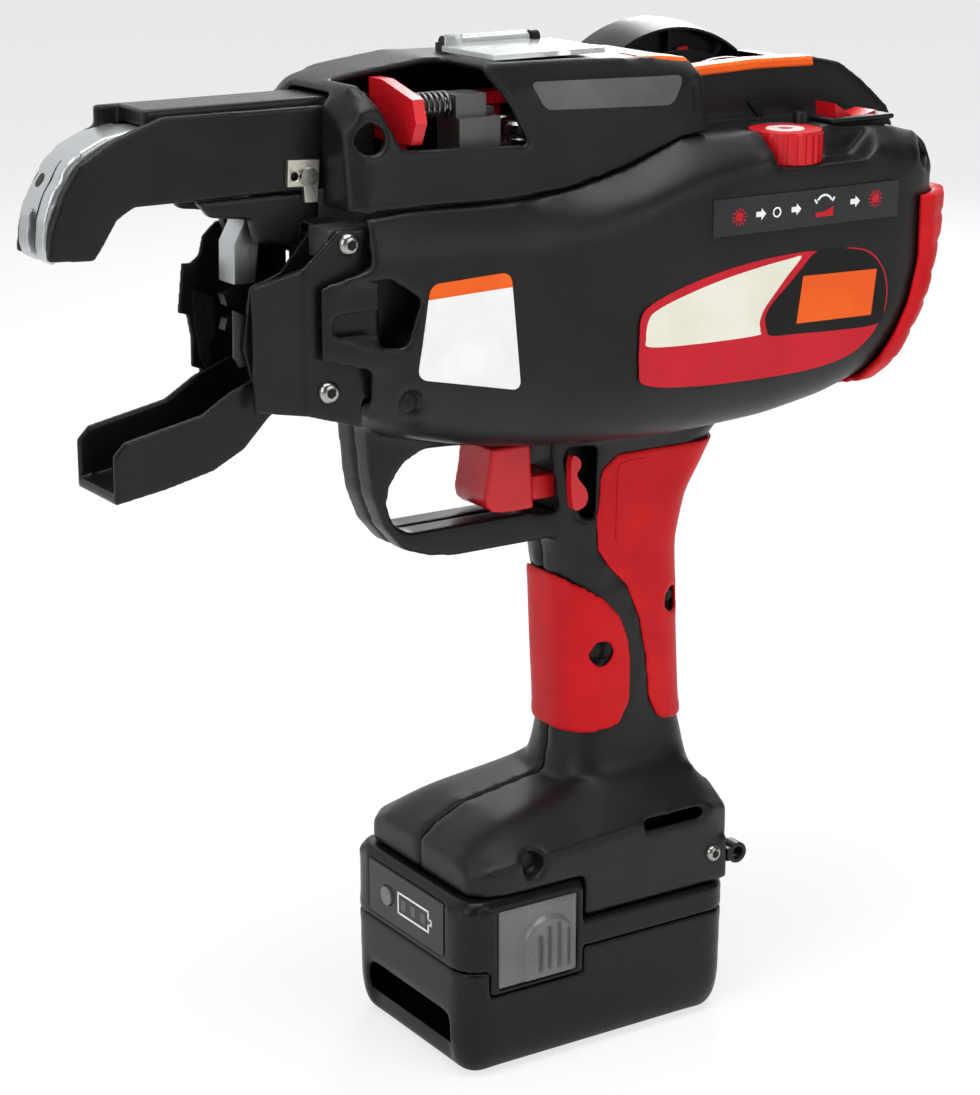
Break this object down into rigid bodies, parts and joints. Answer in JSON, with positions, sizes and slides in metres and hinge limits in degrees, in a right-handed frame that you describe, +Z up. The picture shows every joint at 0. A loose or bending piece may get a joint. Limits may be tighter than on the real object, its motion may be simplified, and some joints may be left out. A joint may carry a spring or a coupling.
{
  "type": "rebar tying tool",
  "caption": "Cordless hand tool with hooked upper arm, U-shaped lower guide, twister, wire feed, reel well, trigger handle and slide-on battery for tying crossed reinforcing bars.",
  "frame": {"origin": "centre of the battery's base on the floor", "axes": "+Z up, -X towards the jaws, -Y the left side with the dial and the switch"},
  "size_m": [0.3217, 0.1035, 0.3418],
  "materials": {
    "body_black": "fine moulded texture",
    "panel_grey": "smooth matt",
    "soft_red": "matt soft touch",
    "red_plastic": "satin",
    "red_paint": "satin",
    "black_steel": "satin",
    "steel": "plain or zinc plated",
    "cast": "as cast",
    "clear": "clear",
    "pack_black": "satin gloss",
    "key_grey": "smooth matt",
    "board": "plain",
    "cell": "wrapped cells"
  },
  "bodies": {
    "frame": {"left_housing": "body_black", "right_housing": "body_black", "upper_cover": "body_black", "window_hinge": "body_black", "rear_bumper": "soft_red", "front_grip_pad": "soft_red", "rear_grip_pad": "soft_red", "housing_screws": "steel", "gear_frame": "cast", "left_front_plate": "black_steel", "right_front_plate": "black_steel", "plate_screws": "steel", "curl_guide": "steel", "arm_left_cover": "black_steel", "arm_right_cover": "black_steel", "arm_bracket": "steel", "arm_screw": "steel", "hook_guides": "black_steel", "wire_guide": "steel", "cross_pins": "steel", "twist_motor": "black_steel", "feed_motor": "black_steel", "feed_block": "cast", "lever_pin": "steel", "release_spring": "steel", "reel_case": "body_black", "reel_spindle": "steel", "reel_hinge": "body_black", "dial_switch": "body_black", "switch_bezel": "body_black", "status_panel": "panel_grey", "control_board": "board", "trigger_frame": "body_black", "trigger_spring": "steel", "terminal_block": "body_black", "strap_eye": "steel"},
    "window": {"feed_window": "clear"},
    "contact": {"contact_plates": "black_steel"},
    "guide": {"lower_guide": "black_steel"},
    "twister": {"twist_gear": "steel", "twist_shaft": "steel", "hook_head": "steel"},
    "pinion": {"motor_pinion": "steel"},
    "feed_drive": {"feed_drive_gear": "steel"},
    "lever": {"release_lever": "red_paint"},
    "feed_idler": {"feed_idler_gear": "steel"},
    "cutter": {"rotary_cutter": "steel"},
    "reel": {"wire_reel": "body_black"},
    "cap": {"reel_cap": "body_black"},
    "dial": {"torque_dial": "red_plastic"},
    "rocker": {"rocker_switch": "red_plastic"},
    "trigger": {"trigger": "red_plastic"},
    "lock": {"trigger_lock": "red_plastic"},
    "battery": {"battery_base": "pack_black", "battery_top": "pack_black", "battery_cells": "cell", "gauge_panel": "panel_grey"},
    "latch_left": {"battery_latch_left": "key_grey"},
    "latch_right": {"battery_latch_right": "key_grey"},
    "button": {"gauge_button": "key_grey"}
  },
  "joints": [
    {"name": "window_hinge_turn", "type": "hinge", "parent": "frame", "child": "window", "pos_m": [-0.015, 0.0095, 0.3382], "axis": [-1, 0, 0], "range_deg": [0, 100]},
    {"name": "contact_press", "type": "hinge", "parent": "frame", "child": "contact", "pos_m": [-0.091, 0, 0.2855], "axis": [0, -1, 0], "range_deg": [0, 5], "stiffness_Nm_per_rad": 0.3, "springref_deg": -5.73},
    {"name": "guide_open", "type": "hinge", "parent": "frame", "child": "guide", "pos_m": [-0.0988, 0, 0.241], "axis": [0, -1, 0], "range_deg": [0, 40], "stiffness_Nm_per_rad": 0.4, "springref_deg": -20.05},
    {"name": "twister_spin", "type": "hinge", "parent": "frame", "child": "twister", "pos_m": [-0.07, 0, 0.263], "axis": [1, 0, 0], "continuous": true},
    {"name": "pinion_spin", "type": "hinge", "parent": "frame", "child": "pinion", "pos_m": [-0.04, 0, 0.2329], "axis": [1, 0, 0], "continuous": true},
    {"name": "feed_spin", "type": "hinge", "parent": "frame", "child": "feed_drive", "pos_m": [-0.014, -0.00905, 0.3], "axis": [0, 0, 1], "continuous": true},
    {"name": "lever_press", "type": "hinge", "parent": "frame", "child": "lever", "pos_m": [-0.052, 0.008, 0.318], "axis": [0, 0, 1], "range_deg": [0, 6], "stiffness_Nm_per_rad": 1.5, "springref_deg": -5.73, "deforming": ["release_spring"]},
    {"name": "idler_spin", "type": "hinge", "parent": "lever", "child": "feed_idler", "pos_m": [-0.014, 0.00905, 0.3], "axis": [0, 0, 1], "continuous": true},
    {"name": "cutter_turn", "type": "hinge", "parent": "frame", "child": "cutter", "pos_m": [-0.112, 0, 0.311], "axis": [0, 1, 0], "range_deg": [0, 40]},
    {"name": "reel_spin", "type": "hinge", "parent": "frame", "child": "reel", "pos_m": [0.074, 0.014, 0.29], "axis": [0, 1, 0], "continuous": true},
    {"name": "cap_open", "type": "hinge", "parent": "frame", "child": "cap", "pos_m": [0.074, 0.052, 0.2395], "axis": [-1, 0, 0], "range_deg": [0, 80]},
    {"name": "dial_turn", "type": "hinge", "parent": "frame", "child": "dial", "pos_m": [0.072, -0.034, 0.302], "axis": [0, 0, 1], "range_deg": [-135, 135]},
    {"name": "rocker_tilt", "type": "hinge", "parent": "frame", "child": "rocker", "pos_m": [0.1035, -0.0265, 0.305], "axis": [0, -1, 0], "range_deg": [0, 8]},
    {"name": "trigger_pull", "type": "slide", "parent": "frame", "child": "trigger", "axis": [1, 0, 0], "range_m": [0, 0.006], "stiffness_N_per_m": 1000, "springref_m": -0.004, "deforming": ["trigger_spring"]},
    {"name": "lock_turn", "type": "hinge", "parent": "frame", "child": "lock", "pos_m": [0.0025, -0.016, 0.2015], "axis": [0, 1, 0], "range_deg": [0, 25]},
    {"name": "battery_slide", "type": "slide", "parent": "frame", "child": "battery", "axis": [-1, 0, 0], "range_m": [0, 0.064]},
    {"name": "latch_left_press", "type": "slide", "parent": "battery", "child": "latch_left", "axis": [0, 1, 0], "range_m": [0, 0.002], "stiffness_N_per_m": 2000, "springref_m": -0.001},
    {"name": "latch_right_press", "type": "slide", "parent": "battery", "child": "latch_right", "axis": [0, -1, 0], "range_m": [0, 0.002], "stiffness_N_per_m": 2000, "springref_m": -0.001},
    {"name": "gauge_press", "type": "slide", "parent": "battery", "child": "button", "axis": [1, 0, 0], "range_m": [0, 0.0008], "stiffness_N_per_m": 1500, "springref_m": -0.001}
  ],
  "couplings": [
    {"joint": "pinion_spin", "follows": "twister_spin", "ratio": -2.75},
    {"joint": "idler_spin", "follows": "feed_spin", "ratio": -1}
  ]
}
